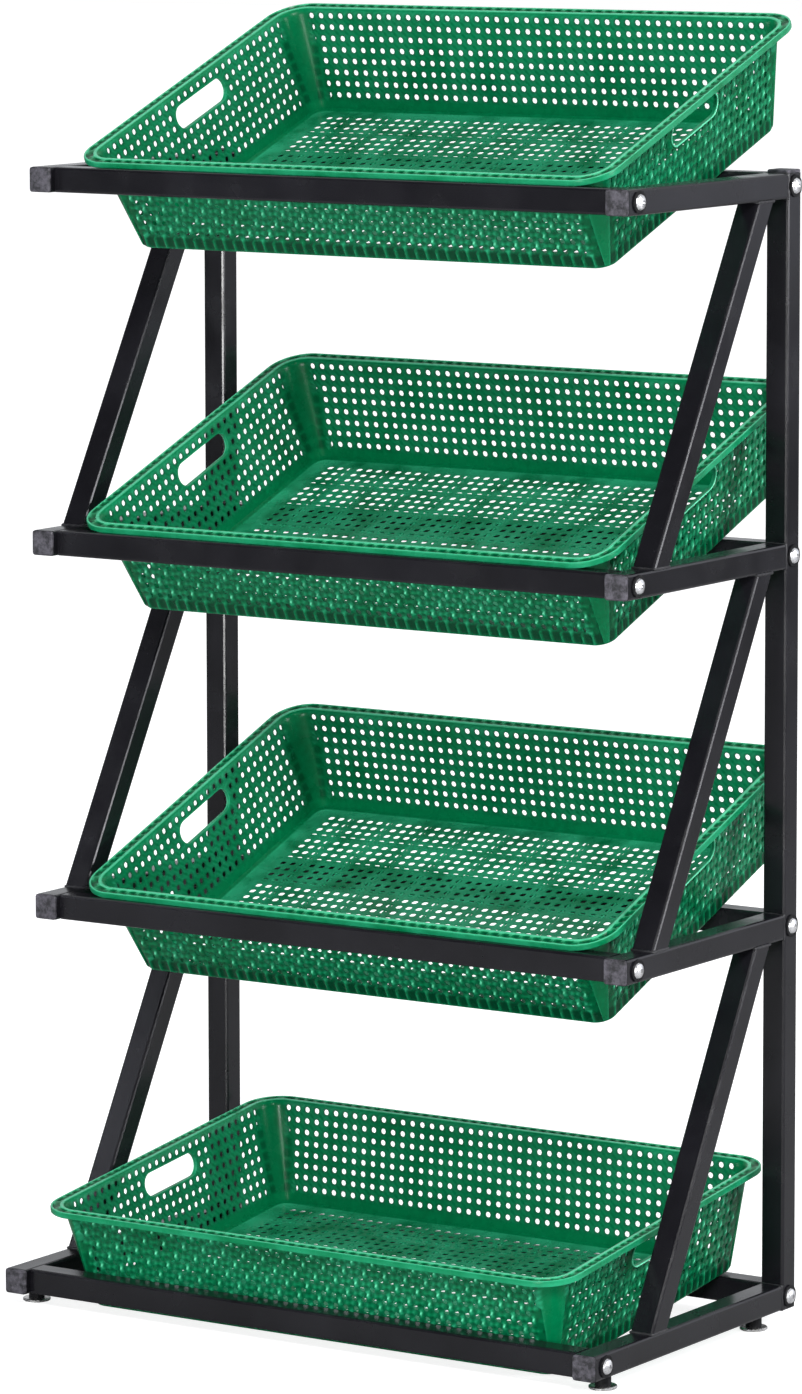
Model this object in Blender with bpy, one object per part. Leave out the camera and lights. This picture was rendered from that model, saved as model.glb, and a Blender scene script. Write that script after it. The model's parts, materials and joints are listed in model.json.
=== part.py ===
"""A four-tier shop display rack: welded square-tube side frames, bolted rails and four plastic baskets.

Lengths are in metres and angles in radians. X runs along the rack's width, -Y is the shopper's side and
+Z is up. The origin is on the floor, at the centre of the rack's footprint.
"""

import math

import bmesh
import bpy

# Gaps and finish
GAP = 0.0003                      # between pieces that touch on the real rack
HOLE_CLEARANCE = 0.0003           # round a bolt's or a foot's shank
CUT_OVERRUN = 0.003               # how far a cutter runs past the wall it cuts
MERGE_DISTANCE = 0.000001         # joins the points of a turned profile that meet on its axis
SHARP_ANGLE = math.radians(35.0)  # edges sharper than this stay crisp under smooth shading

# Square tube
TUBE = 0.025                      # outer side
TUBE_WALL = 0.0015
TUBE_CORNER = 0.0025              # outer corner radius
TUBE_CORNER_STEPS = 2

# Side frames
RACK_WIDTH = 0.690                # over the outer faces of both side frames
BASE_REACH = 0.375                # rear face of the post to the front end of a base arm's tube
BASE_STEP = 0.055                 # how far the base arms run past the upper ones
TOP_TIER_PITCH = 0.360            # top tier down to the second
MIDDLE_TIER_PITCH = 0.365
BASE_TIER_PITCH = 0.370           # third tier down to the base
STRUT_FOOT_SETBACK = 0.047        # front edge of a strut's foot behind the upper arm's front end
STRUT_HEAD_SETBACK = 0.0265       # rear edge of a strut's head in front of the post
STRUT_DEPTH = 0.02875             # level cut of the leaning tube, front to rear

# Rails
RAIL_SETBACK = 0.005              # front rail's face behind the arm's front end
RAIL_END_PLATE = 0.005            # welded nut plate that closes a rail's end

# Bolts
BOLT_SHANK_RADIUS = 0.004
BOLT_THREAD_PROUD = 0.003         # how far the shank runs past the nut plate
BOLT_FLANGE_RADIUS = 0.011
BOLT_FLANGE_THICKNESS = 0.0014
BOLT_HEAD_RADIUS = 0.00775
BOLT_HEAD_HEIGHT = 0.0036
BOLT_SOCKET_RADIUS = 0.0022
BOLT_SOCKET_DEPTH = 0.0016
BOLT_DOME_STEPS = 3
BOLT_SIDES = 12
HOLE_SIDES = 16

# Tube plugs
PLUG_HEAD_THICKNESS = 0.003
PLUG_HEAD_INSET = 0.0002          # head's side inside the tube's side
PLUG_EDGE = 0.001                 # rounded front edge of the head
PLUG_FIT = 0.00025                # plug's side inside the tube's bore
PLUG_SHANK_CLEARANCE = 0.0015     # plug's end to the bolt shank nearest to it

# Levelling feet
FOOT_HEIGHT = 0.013               # floor to the underside of the base arms
FOOT_DISC_RADIUS = 0.014
FOOT_DISC_THICKNESS = 0.003
FOOT_DISC_EDGE = 0.0008
FOOT_COLLAR_RADIUS = 0.008
FOOT_SHANK_RADIUS = 0.004
FOOT_SHANK_LENGTH = 0.018
FOOT_SHANK_CHAMFER = 0.0008
FOOT_FRONT_SETBACK = 0.033        # foot's axis behind the base arm's front end
FOOT_REAR_SETBACK = 0.035         # foot's axis in front of the post
FOOT_SIDES = 16

# Baskets
BASKET_SIDE_CLEARANCE = 0.013     # rim to the inner face of a side frame
BASKET_OVERHANG = 0.031           # how much wider the rim is than the base arms are long
BASKET_HEIGHT = 0.107
END_WALL_RUN = 0.0185             # how far a basket's end wall leans out on its way up to the rim
SIDE_WALL_RUN = 0.018             # the same for its front and rear walls
BASKET_WALL = 0.0025
BASKET_FLOOR = 0.003
BASKET_BOTTOM_EDGE = 0.004        # height of the bevel round the floor's edge
BASKET_FLOOR_CORNER = 0.018
BASKET_RIM_CORNER = 0.038
BASKET_CORNER_STEPS = 6
RIM_WIDTH = 0.014                 # how far the rim stands out from the wall
RIM_THICKNESS = 0.006
RIM_EDGE = 0.0015
BASE_BASKET_TILT = math.radians(7.0)
HANDLE_LENGTH = 0.095
HANDLE_HEIGHT = 0.024
HANDLE_BELOW_RIM = 0.025          # handle slot's centre below the top of the rim
HANDLE_STEPS = 6

# Grid of openings in the baskets, in place of the real ones' many small square holes
GRID_COLUMNS = 8                  # along a basket's length
GRID_ROWS = 5                     # across it
GRID_LEVELS = 2                   # up its walls
GRID_OPEN_SHARE = 0.5             # side of an opening in each pitch of the grid
GRID_MARGIN = 0.025               # solid border between the floor's edge and the grid
GRID_FOOT = 0.014                 # solid band at the foot of the walls
GRID_HANDLE_MARGIN = 0.006        # least web between an opening and a handle slot

# Search for the tilt of the upper baskets
TILT_SEARCH_STEPS = 40
TILT_SEARCH_LOW = math.radians(8.0)
TILT_SEARCH_HIGH = math.radians(40.0)

# Places worked out from the sizes above, with Y measured from the posts' rear face
HALF_WIDTH = RACK_WIDTH / 2
ARM_REACH = BASE_REACH - BASE_STEP
TIER_PITCHES = (TOP_TIER_PITCH, MIDDLE_TIER_PITCH, BASE_TIER_PITCH)
TIER_COUNT = len(TIER_PITCHES) + 1
TUBE_CENTRE_X = HALF_WIDTH - TUBE / 2
RAIL_LENGTH = RACK_WIDTH - 2 * TUBE - 2 * GAP
POST_FRONT_Y = -TUBE
BASKET_HALF_LENGTH = HALF_WIDTH - TUBE - BASKET_SIDE_CLEARANCE
BASKET_HALF_WIDTH = (BASE_REACH + BASKET_OVERHANG) / 2
RIM_UNDERSIDE = BASKET_HEIGHT - RIM_THICKNESS
WALL_TOP_HALF_LENGTH = BASKET_HALF_LENGTH - RIM_WIDTH
WALL_TOP_HALF_WIDTH = BASKET_HALF_WIDTH - RIM_WIDTH
WALL_TOP_CORNER = BASKET_RIM_CORNER - RIM_WIDTH
BASKET_FLOOR_HALF_LENGTH = WALL_TOP_HALF_LENGTH - END_WALL_RUN
BASKET_FLOOR_HALF_WIDTH = WALL_TOP_HALF_WIDTH - SIDE_WALL_RUN
HANDLE_Z = BASKET_HEIGHT - HANDLE_BELOW_RIM
SEAT_RADIUS = TUBE_CORNER + GAP   # what a basket touches: a rail's rounded edge, swollen by the gap


def tier_height(tier):
    """Underside of the arms of a tier; tier 1 is the top one."""
    return FOOT_HEIGHT + sum(TIER_PITCHES[tier - 1:])


def arm_reach(tier):
    return BASE_REACH if tier == TIER_COUNT else ARM_REACH


def front_rail_centre_y(tier):
    return RAIL_SETBACK + TUBE / 2 - arm_reach(tier)


def basket_seat(tier, tilt):
    """Centre of a basket's underside, as Y and Z above the rail tops, when it is tilted forward by tilt.

    Its floor touches the rear rail's upper front edge, and its front wall touches the front rail's upper
    rear edge.
    """
    wall_length = math.hypot(SIDE_WALL_RUN, RIM_UNDERSIDE)
    normal_across = -RIM_UNDERSIDE / wall_length
    normal_up = -SIDE_WALL_RUN / wall_length
    rear_edge_y = POST_FRONT_Y + TUBE_CORNER
    front_edge_y = front_rail_centre_y(tier) + TUBE / 2 - TUBE_CORNER
    span = rear_edge_y - front_edge_y
    front_edge_up = span * math.sin(tilt) - SEAT_RADIUS
    front_edge_across = (SEAT_RADIUS - front_edge_up * normal_up) / normal_across
    front_edge_across -= BASKET_FLOOR_HALF_WIDTH
    rear_edge_across = front_edge_across + span * math.cos(tilt)
    y = rear_edge_y - rear_edge_across * math.cos(tilt) - SEAT_RADIUS * math.sin(tilt)
    z = -TUBE_CORNER - rear_edge_across * math.sin(tilt) + SEAT_RADIUS * math.cos(tilt)
    return y, z


def rim_gap_above_rail(tier, tilt):
    """Height of the front rim's underside above the front rail's top."""
    across = RIM_EDGE - BASKET_HALF_WIDTH
    return basket_seat(tier, tilt)[1] + across * math.sin(tilt) + RIM_UNDERSIDE * math.cos(tilt)


def resting_tilt():
    """Tilt at which an upper basket's front rim comes to lie on the front rail."""
    low = TILT_SEARCH_LOW
    high = TILT_SEARCH_HIGH
    for _ in range(TILT_SEARCH_STEPS):
        middle = (low + high) / 2
        if rim_gap_above_rail(1, middle) > GAP:
            low = middle
        else:
            high = middle
    return low


UPPER_BASKET_TILT = resting_tilt()


def basket_tilt(tier):
    return BASE_BASKET_TILT if tier == TIER_COUNT else UPPER_BASKET_TILT


def rim_end_y(tier, side):
    """Y of the outermost point of a basket's rim: front for side -1, rear for side 1."""
    tilt = basket_tilt(tier)
    profile = [
        (BASKET_HALF_WIDTH - RIM_EDGE, RIM_UNDERSIDE),
        (BASKET_HALF_WIDTH, RIM_UNDERSIDE + RIM_EDGE),
        (BASKET_HALF_WIDTH, BASKET_HEIGHT - RIM_EDGE),
        (BASKET_HALF_WIDTH - RIM_EDGE, BASKET_HEIGHT),
    ]
    reaches = [across * math.cos(tilt) - side * up * math.sin(tilt) for across, up in profile]
    return basket_seat(tier, tilt)[0] + side * max(reaches)


POST_REAR_Y = -(rim_end_y(TIER_COUNT, -1) + rim_end_y(1, 1)) / 2


def clear_scene():
    for item in list(bpy.data.objects):
        bpy.data.objects.remove(item)


def make_material(name, colour, roughness, metallic):
    material = bpy.data.materials.new(name)
    material.use_nodes = True
    shader = material.node_tree.nodes["Principled BSDF"]
    shader.inputs["Base Color"].default_value = (*colour, 1.0)
    shader.inputs["Roughness"].default_value = roughness
    shader.inputs["Metallic"].default_value = metallic
    return material


def add_object(name, bm, material, parent, location=(0, 0, 0), rotation=(0, 0, 0)):
    """Turns a finished bmesh into a named object under its parent."""
    bmesh.ops.recalc_face_normals(bm, faces=bm.faces)
    mesh = bpy.data.meshes.new(name)
    bm.to_mesh(mesh)
    bm.free()
    mesh.materials.append(material)
    mesh.shade_smooth()
    mesh.set_sharp_from_angle(angle=SHARP_ANGLE)
    item = bpy.data.objects.new(name, mesh)
    bpy.context.collection.objects.link(item)
    item.parent = parent
    item.location = location
    item.rotation_euler = rotation
    return item


def add_cutter(name, bm, target, location=(0, 0, 0), rotation=(0, 0, 0)):
    """Cuts a shape out of the target, in the target's own frame."""
    bmesh.ops.recalc_face_normals(bm, faces=bm.faces)
    mesh = bpy.data.meshes.new(name)
    bm.to_mesh(mesh)
    bm.free()
    cutter = bpy.data.objects.new(name, mesh)
    bpy.context.collection.objects.link(cutter)
    cutter.parent = target
    cutter.location = location
    cutter.rotation_euler = rotation
    cutter.hide_render = True
    cutter.display_type = "WIRE"
    cut = target.modifiers.new(name, "BOOLEAN")
    cut.operation = "DIFFERENCE"
    cut.solver = "EXACT"
    cut.object = cutter
    return cutter


def rounded_outline(half_u, half_v, radius, steps):
    """Points of a rectangle with rounded corners, anticlockwise from the +U side."""
    points = []
    corners = [(1, 1), (-1, 1), (-1, -1), (1, -1)]
    for quarter, (sign_u, sign_v) in enumerate(corners):
        for step in range(steps + 1):
            angle = math.pi / 2 * (quarter + step / steps)
            u = sign_u * (half_u - radius) + radius * math.cos(angle)
            v = sign_v * (half_v - radius) + radius * math.sin(angle)
            points.append((u, v))
    return points


def round_outline(radius, count):
    """Points of a circle that pair up with those of a rounded square of as many points."""
    quarter_count = count // 4
    points = []
    for quarter in range(4):
        for step in range(quarter_count):
            angle = math.pi / 2 * (quarter + (step + 0.5) / quarter_count)
            points.append((radius * math.cos(angle), radius * math.sin(angle)))
    return points


def skin_loops(loops, closed):
    """A solid skinned over loops of equal length: closed into a ring, or with its two ends filled."""
    bm = bmesh.new()
    rings = [[bm.verts.new(point) for point in loop] for loop in loops]
    pairs = list(zip(rings, rings[1:]))
    if closed:
        pairs.append((rings[-1], rings[0]))
    else:
        bm.faces.new(rings[0])
        bm.faces.new(rings[-1])
    for lower, upper in pairs:
        for index in range(len(lower)):
            after = (index + 1) % len(lower)
            bm.faces.new((lower[index], lower[after], upper[after], upper[index]))
    return bm


def at_height(outline, z, shift_v=0.0):
    return [(u, v + shift_v, z) for u, v in outline]


def tube_outlines(depth=TUBE):
    """Outer and inner outline of the square tube, its V side stretched to depth where it is cut askew."""
    stretch = depth / TUBE
    outer = rounded_outline(TUBE / 2, TUBE / 2, TUBE_CORNER, TUBE_CORNER_STEPS)
    bore_half = TUBE / 2 - TUBE_WALL
    inner = rounded_outline(bore_half, bore_half, TUBE_CORNER - TUBE_WALL, TUBE_CORNER_STEPS)
    return [(u, v * stretch) for u, v in outer], [(u, v * stretch) for u, v in inner]


def open_tube(length, lean=0.0, depth=TUBE):
    """A tube along +Z, open at both ends; lean moves its top along V."""
    outer, inner = tube_outlines(depth)
    loops = [
        at_height(outer, 0),
        at_height(outer, length, lean),
        at_height(inner, length, lean),
        at_height(inner, 0),
    ]
    return skin_loops(loops, closed=True)


def railed_tube(length):
    """A tube along Z about its middle, each end closed by a plate with a round bolt hole."""
    outer, inner = tube_outlines()
    hole = round_outline(BOLT_SHANK_RADIUS + HOLE_CLEARANCE, len(outer))
    end = length / 2
    loops = [
        at_height(outer, -end),
        at_height(outer, end),
        at_height(hole, end),
        at_height(hole, end - RAIL_END_PLATE),
        at_height(inner, end - RAIL_END_PLATE),
        at_height(inner, RAIL_END_PLATE - end),
        at_height(hole, RAIL_END_PLATE - end),
        at_height(hole, -end),
    ]
    return skin_loops(loops, closed=True)


def turned(profile, sides):
    """A solid turned round Z from (radius, height) points that start and end on the axis."""
    bm = bmesh.new()
    verts = [bm.verts.new((radius, 0, height)) for radius, height in profile]
    edges = [bm.edges.new(pair) for pair in zip(verts, verts[1:])]
    bmesh.ops.spin(
        bm,
        geom=verts + edges,
        cent=(0, 0, 0),
        axis=(0, 0, 1),
        angle=2 * math.pi,
        steps=sides,
        use_merge=True,
    )
    bmesh.ops.remove_doubles(bm, verts=bm.verts, dist=MERGE_DISTANCE)
    return bm


def round_cutter(radius, length):
    """A cylinder about its own middle, along Z."""
    half = length / 2
    outline = round_outline(radius, HOLE_SIDES)
    return skin_loops([at_height(outline, -half), at_height(outline, half)], closed=False)


def bolt_hole(name, tube, distance):
    """A bolt hole through both side walls of a tube, at a distance along it."""
    cutter = round_cutter(BOLT_SHANK_RADIUS + HOLE_CLEARANCE, TUBE + 2 * CUT_OVERRUN)
    add_cutter(name, cutter, tube, (0, 0, distance), (0, math.pi / 2, 0))


def build_post(side, sign, frame, paint):
    length = tier_height(1) + TUBE - FOOT_HEIGHT
    location = (sign * TUBE_CENTRE_X, -TUBE / 2, FOOT_HEIGHT)
    post = add_object(f"{side}_post", open_tube(length), paint, frame, location)
    for tier in range(1, TIER_COUNT + 1):
        bolt_hole(f"{side}_post_hole_{tier}", post, tier_height(tier) + TUBE / 2 - FOOT_HEIGHT)


def foot_distances():
    """Distances of the feet behind the front end of a base arm's tube."""
    return {"front": FOOT_FRONT_SETBACK, "rear": BASE_REACH - TUBE - FOOT_REAR_SETBACK}


def build_arm(side, sign, tier, frame, paint):
    """A side arm, modelled from its front end back to the post."""
    length = arm_reach(tier) - TUBE - GAP
    location = (sign * TUBE_CENTRE_X, -arm_reach(tier), tier_height(tier) + TUBE / 2)
    arm = add_object(f"{side}_arm_{tier}", open_tube(length), paint, frame, location, (-math.pi / 2, 0, 0))
    bolt_hole(f"{side}_arm_hole_{tier}", arm, RAIL_SETBACK + TUBE / 2)
    if tier != TIER_COUNT:
        return
    for end, distance in foot_distances().items():
        cutter = round_cutter(FOOT_SHANK_RADIUS + HOLE_CLEARANCE, TUBE_WALL + 2 * CUT_OVERRUN)
        add_cutter(f"{side}_{end}_foot_hole", cutter, arm, (0, TUBE / 2, distance), (math.pi / 2, 0, 0))


def build_strut(side, sign, tier, frame, paint):
    """The strut that runs from a tier's arm up to the arm above it."""
    foot_y = STRUT_FOOT_SETBACK + STRUT_DEPTH / 2 - ARM_REACH
    head_y = POST_FRONT_Y - STRUT_HEAD_SETBACK - STRUT_DEPTH / 2
    bottom = tier_height(tier) + TUBE + GAP
    length = tier_height(tier - 1) - GAP - bottom
    location = (sign * TUBE_CENTRE_X, foot_y, bottom)
    tube = open_tube(length, head_y - foot_y, STRUT_DEPTH)
    add_object(f"{side}_strut_{tier}", tube, paint, frame, location)


def build_rails(tier, frame, paint):
    height = tier_height(tier) + TUBE / 2
    turn = (0, math.pi / 2, 0)
    front = (0, front_rail_centre_y(tier), height)
    rear = (0, -TUBE / 2, height)
    add_object(f"front_rail_{tier}", railed_tube(RAIL_LENGTH), paint, frame, front, turn)
    add_object(f"rear_rail_{tier}", railed_tube(RAIL_LENGTH), paint, frame, rear, turn)


def bolt_profile():
    """A button-head bolt along Z, its flange seated at height zero and its shank running down."""
    shank_length = TUBE + 2 * GAP + RAIL_END_PLATE + BOLT_THREAD_PROUD
    shoulder = BOLT_FLANGE_THICKNESS + GAP
    top = shoulder + BOLT_HEAD_HEIGHT
    dome = []
    for step in range(BOLT_DOME_STEPS):
        angle = math.pi / 2 * step / BOLT_DOME_STEPS
        dome.append((BOLT_HEAD_RADIUS * math.cos(angle), shoulder + BOLT_HEAD_HEIGHT * math.sin(angle)))
    return [
        (0, -shank_length),
        (BOLT_SHANK_RADIUS, -shank_length),
        (BOLT_SHANK_RADIUS, GAP),
        (BOLT_FLANGE_RADIUS, GAP),
        (BOLT_FLANGE_RADIUS, shoulder),
        *dome,
        (BOLT_SOCKET_RADIUS, top),
        (BOLT_SOCKET_RADIUS, top - BOLT_SOCKET_DEPTH),
        (0, top - BOLT_SOCKET_DEPTH),
    ]


def build_bolts(side, sign, tier, frame, steel):
    height = tier_height(tier) + TUBE / 2
    turn = (0, sign * math.pi / 2, 0)
    places = {"front": front_rail_centre_y(tier), "rear": -TUBE / 2}
    for end, y in places.items():
        bolt = turned(bolt_profile(), BOLT_SIDES)
        add_object(f"{side}_{end}_bolt_{tier}", bolt, steel, frame, (sign * HALF_WIDTH, y, height), turn)


def tube_plug(depth):
    """A plug along Z: its head sits on the tube's end at height zero and its body goes down the bore."""
    head_half = TUBE / 2 - PLUG_HEAD_INSET
    face_half = head_half - PLUG_EDGE
    body_half = TUBE / 2 - TUBE_WALL - PLUG_FIT
    body = rounded_outline(body_half, body_half, TUBE_CORNER - TUBE_WALL, TUBE_CORNER_STEPS)
    head = rounded_outline(head_half, head_half, TUBE_CORNER, TUBE_CORNER_STEPS)
    face = rounded_outline(face_half, face_half, TUBE_CORNER - PLUG_EDGE, TUBE_CORNER_STEPS)
    loops = [
        at_height(body, -depth),
        at_height(body, GAP),
        at_height(head, GAP),
        at_height(head, GAP + PLUG_HEAD_THICKNESS - PLUG_EDGE),
        at_height(face, GAP + PLUG_HEAD_THICKNESS),
    ]
    return skin_loops(loops, closed=False)


def build_plugs(side, sign, frame, plastic):
    x = sign * TUBE_CENTRE_X
    arm_depth = RAIL_SETBACK + TUBE / 2 - BOLT_SHANK_RADIUS - PLUG_SHANK_CLEARANCE
    for tier in range(1, TIER_COUNT + 1):
        location = (x, -arm_reach(tier), tier_height(tier) + TUBE / 2)
        turn = (math.pi / 2, 0, 0)
        add_object(f"{side}_arm_plug_{tier}", tube_plug(arm_depth), plastic, frame, location, turn)
    post_depth = TUBE / 2 - BOLT_SHANK_RADIUS - PLUG_SHANK_CLEARANCE
    location = (x, -TUBE / 2, tier_height(1) + TUBE)
    add_object(f"{side}_post_plug", tube_plug(post_depth), plastic, frame, location)


def foot_profile():
    """A levelling foot along Z, its disc on the floor at height zero."""
    collar_top = FOOT_HEIGHT - GAP
    shank_top = FOOT_HEIGHT + FOOT_SHANK_LENGTH
    return [
        (0, 0),
        (FOOT_DISC_RADIUS - FOOT_DISC_EDGE, 0),
        (FOOT_DISC_RADIUS, FOOT_DISC_EDGE),
        (FOOT_DISC_RADIUS, FOOT_DISC_THICKNESS - FOOT_DISC_EDGE),
        (FOOT_DISC_RADIUS - FOOT_DISC_EDGE, FOOT_DISC_THICKNESS),
        (FOOT_COLLAR_RADIUS, FOOT_DISC_THICKNESS),
        (FOOT_COLLAR_RADIUS, collar_top),
        (FOOT_SHANK_RADIUS, collar_top),
        (FOOT_SHANK_RADIUS, shank_top - FOOT_SHANK_CHAMFER),
        (FOOT_SHANK_RADIUS - FOOT_SHANK_CHAMFER, shank_top),
        (0, shank_top),
    ]


def build_feet(side, sign, frame, steel):
    for end, distance in foot_distances().items():
        location = (sign * TUBE_CENTRE_X, distance - BASE_REACH, 0)
        add_object(f"{side}_{end}_foot", turned(foot_profile(), FOOT_SIDES), steel, frame, location)


def between(low, high, share):
    return low + (high - low) * share


def wall_outline(height, inset):
    """Outline of a basket's wall at a height above its underside, moved inwards by an inset."""
    rise_share = height / RIM_UNDERSIDE
    half_length = between(BASKET_FLOOR_HALF_LENGTH, WALL_TOP_HALF_LENGTH, rise_share)
    half_width = between(BASKET_FLOOR_HALF_WIDTH, WALL_TOP_HALF_WIDTH, rise_share)
    corner = between(BASKET_FLOOR_CORNER, WALL_TOP_CORNER, rise_share)
    return rounded_outline(half_length - inset, half_width - inset, corner - inset, BASKET_CORNER_STEPS)


def rim_outline(inset):
    half_length = BASKET_HALF_LENGTH - inset
    half_width = BASKET_HALF_WIDTH - inset
    return rounded_outline(half_length, half_width, BASKET_RIM_CORNER - inset, BASKET_CORNER_STEPS)


def basket_shell():
    """A tapered tray with a bevelled bottom edge and a rim that stands out all round."""
    loops = [
        at_height(wall_outline(0, BASKET_BOTTOM_EDGE), 0),
        at_height(wall_outline(BASKET_BOTTOM_EDGE, 0), BASKET_BOTTOM_EDGE),
        at_height(wall_outline(RIM_UNDERSIDE, 0), RIM_UNDERSIDE),
        at_height(rim_outline(RIM_EDGE), RIM_UNDERSIDE),
        at_height(rim_outline(0), RIM_UNDERSIDE + RIM_EDGE),
        at_height(rim_outline(0), BASKET_HEIGHT - RIM_EDGE),
        at_height(rim_outline(RIM_EDGE), BASKET_HEIGHT),
        at_height(wall_outline(BASKET_HEIGHT, BASKET_WALL), BASKET_HEIGHT),
        at_height(wall_outline(BASKET_FLOOR, BASKET_WALL), BASKET_FLOOR),
    ]
    return skin_loops(loops, closed=False)


def handle_cutter():
    """A slot with round ends, long along Y, that runs through both end walls of a basket."""
    end_radius = HANDLE_HEIGHT / 2
    straight = HANDLE_LENGTH / 2 - end_radius
    outline = []
    for end_sign in (1, -1):
        for step in range(HANDLE_STEPS + 1):
            angle = math.pi * (step / HANDLE_STEPS - end_sign / 2)
            u = end_radius * math.sin(angle)
            v = end_sign * straight + end_radius * math.cos(angle)
            outline.append((u, v))
    reach = BASKET_HALF_LENGTH + CUT_OVERRUN
    return skin_loops([at_height(outline, -reach), at_height(outline, reach)], closed=False)


def grid_places(half_span, count):
    """Middles of a row of openings that fill a span about zero, and half the size of each."""
    pitch = 2 * half_span / count
    middles = [pitch * (index + 0.5) - half_span for index in range(count)]
    return middles, pitch * GRID_OPEN_SHARE / 2


def grid_levels():
    """The same for the levels of openings in the walls."""
    half_span = (RIM_UNDERSIDE - GRID_FOOT) / 2
    middles, half_size = grid_places(half_span, GRID_LEVELS)
    return [GRID_FOOT + half_span + middle for middle in middles], half_size


def add_block(bm, middle, half):
    """Adds a box, given by its middle and half sizes, to a mesh of several."""
    signs = [(i, j, k) for i in (-1, 1) for j in (-1, 1) for k in (-1, 1)]
    corners = [bm.verts.new([m + s * h for m, s, h in zip(middle, sign, half)]) for sign in signs]
    sides = [(0, 1, 3, 2), (4, 6, 7, 5), (0, 4, 5, 1), (2, 3, 7, 6), (0, 2, 6, 4), (1, 5, 7, 3)]
    for side in sides:
        bm.faces.new([corners[index] for index in side])


def meets_handle(y, half_y, z, half_z):
    beside = abs(y) - half_y > HANDLE_LENGTH / 2 + GRID_HANDLE_MARGIN
    below = z + half_z < HANDLE_Z - HANDLE_HEIGHT / 2 - GRID_HANDLE_MARGIN
    return not (beside or below)


def grid_cutters():
    """Blocks that open a basket's floor, its long walls and its end walls, as three separate sets."""
    columns, half_x = grid_places(BASKET_FLOOR_HALF_LENGTH - GRID_MARGIN, GRID_COLUMNS)
    rows, half_y = grid_places(BASKET_FLOOR_HALF_WIDTH - GRID_MARGIN, GRID_ROWS)
    levels, half_z = grid_levels()
    floor_grid = bmesh.new()
    for x in columns:
        for y in rows:
            half = (half_x, half_y, BASKET_FLOOR / 2 + CUT_OVERRUN)
            add_block(floor_grid, (x, y, BASKET_FLOOR / 2), half)
    long_grid = bmesh.new()
    for x in columns:
        for z in levels:
            add_block(long_grid, (x, 0, z), (half_x, BASKET_HALF_WIDTH + CUT_OVERRUN, half_z))
    end_grid = bmesh.new()
    for y in rows:
        for z in levels:
            if not meets_handle(y, half_y, z, half_z):
                add_block(end_grid, (0, y, z), (BASKET_HALF_LENGTH + CUT_OVERRUN, half_y, half_z))
    return {"floor": floor_grid, "long": long_grid, "end": end_grid}


def build_basket(tier, frame, plastic):
    tilt = basket_tilt(tier)
    seat_y, seat_z = basket_seat(tier, tilt)
    location = (0, seat_y, tier_height(tier) + TUBE + seat_z)
    basket = add_object(f"basket_{tier}", basket_shell(), plastic, frame, location, (tilt, 0, 0))
    add_cutter(f"basket_{tier}_handles", handle_cutter(), basket, (0, 0, HANDLE_Z), (0, math.pi / 2, 0))
    for place, blocks in grid_cutters().items():
        add_cutter(f"basket_{tier}_{place}_grid", blocks, basket)


def build_rack():
    clear_scene()
    paint = make_material("black_powder_coat", (0.018, 0.018, 0.021), 0.32, 0.0)
    cap_plastic = make_material("dark_cap_plastic", (0.045, 0.045, 0.050), 0.55, 0.0)
    bolt_steel = make_material("bright_bolt", (0.86, 0.86, 0.87), 0.22, 1.0)
    foot_steel = make_material("plated_foot", (0.55, 0.56, 0.58), 0.30, 1.0)
    basket_plastic = make_material("green_basket", (0.006, 0.235, 0.085), 0.38, 0.0)
    frame = bpy.data.objects.new("rack_origin", None)
    bpy.context.collection.objects.link(frame)
    frame.location = (0, POST_REAR_Y, 0)
    for side, sign in (("left", -1), ("right", 1)):
        build_post(side, sign, frame, paint)
        for tier in range(1, TIER_COUNT + 1):
            build_arm(side, sign, tier, frame, paint)
            build_bolts(side, sign, tier, frame, bolt_steel)
        for tier in range(2, TIER_COUNT + 1):
            build_strut(side, sign, tier, frame, paint)
        build_plugs(side, sign, frame, cap_plastic)
        build_feet(side, sign, frame, foot_steel)
    for tier in range(1, TIER_COUNT + 1):
        build_rails(tier, frame, paint)
        build_basket(tier, frame, basket_plastic)


build_rack()
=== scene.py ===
"""Dresses the shop display rack: pierced baskets, weld beads, materials, floor, lights and camera."""

import json
import math
from collections import namedtuple

import bmesh
import bpy
from mathutils import Matrix, Vector


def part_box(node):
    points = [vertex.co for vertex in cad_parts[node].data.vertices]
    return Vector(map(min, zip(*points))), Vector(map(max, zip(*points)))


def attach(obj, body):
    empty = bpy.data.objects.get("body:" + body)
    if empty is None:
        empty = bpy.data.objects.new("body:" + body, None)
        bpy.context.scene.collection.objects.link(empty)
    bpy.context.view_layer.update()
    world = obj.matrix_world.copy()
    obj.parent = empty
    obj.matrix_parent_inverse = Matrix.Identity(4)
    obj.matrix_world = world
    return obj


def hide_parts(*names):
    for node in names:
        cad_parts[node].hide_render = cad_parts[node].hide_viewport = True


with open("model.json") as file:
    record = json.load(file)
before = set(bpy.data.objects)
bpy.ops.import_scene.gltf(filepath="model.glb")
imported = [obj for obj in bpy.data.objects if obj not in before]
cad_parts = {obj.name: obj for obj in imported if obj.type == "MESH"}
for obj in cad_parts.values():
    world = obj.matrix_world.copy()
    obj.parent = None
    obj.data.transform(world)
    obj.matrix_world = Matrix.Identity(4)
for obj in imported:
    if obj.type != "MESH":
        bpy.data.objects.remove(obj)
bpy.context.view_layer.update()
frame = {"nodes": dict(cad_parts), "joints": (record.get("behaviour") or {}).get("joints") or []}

SIDES = ("left", "right")
TIERS = range(1, 5)

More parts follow.
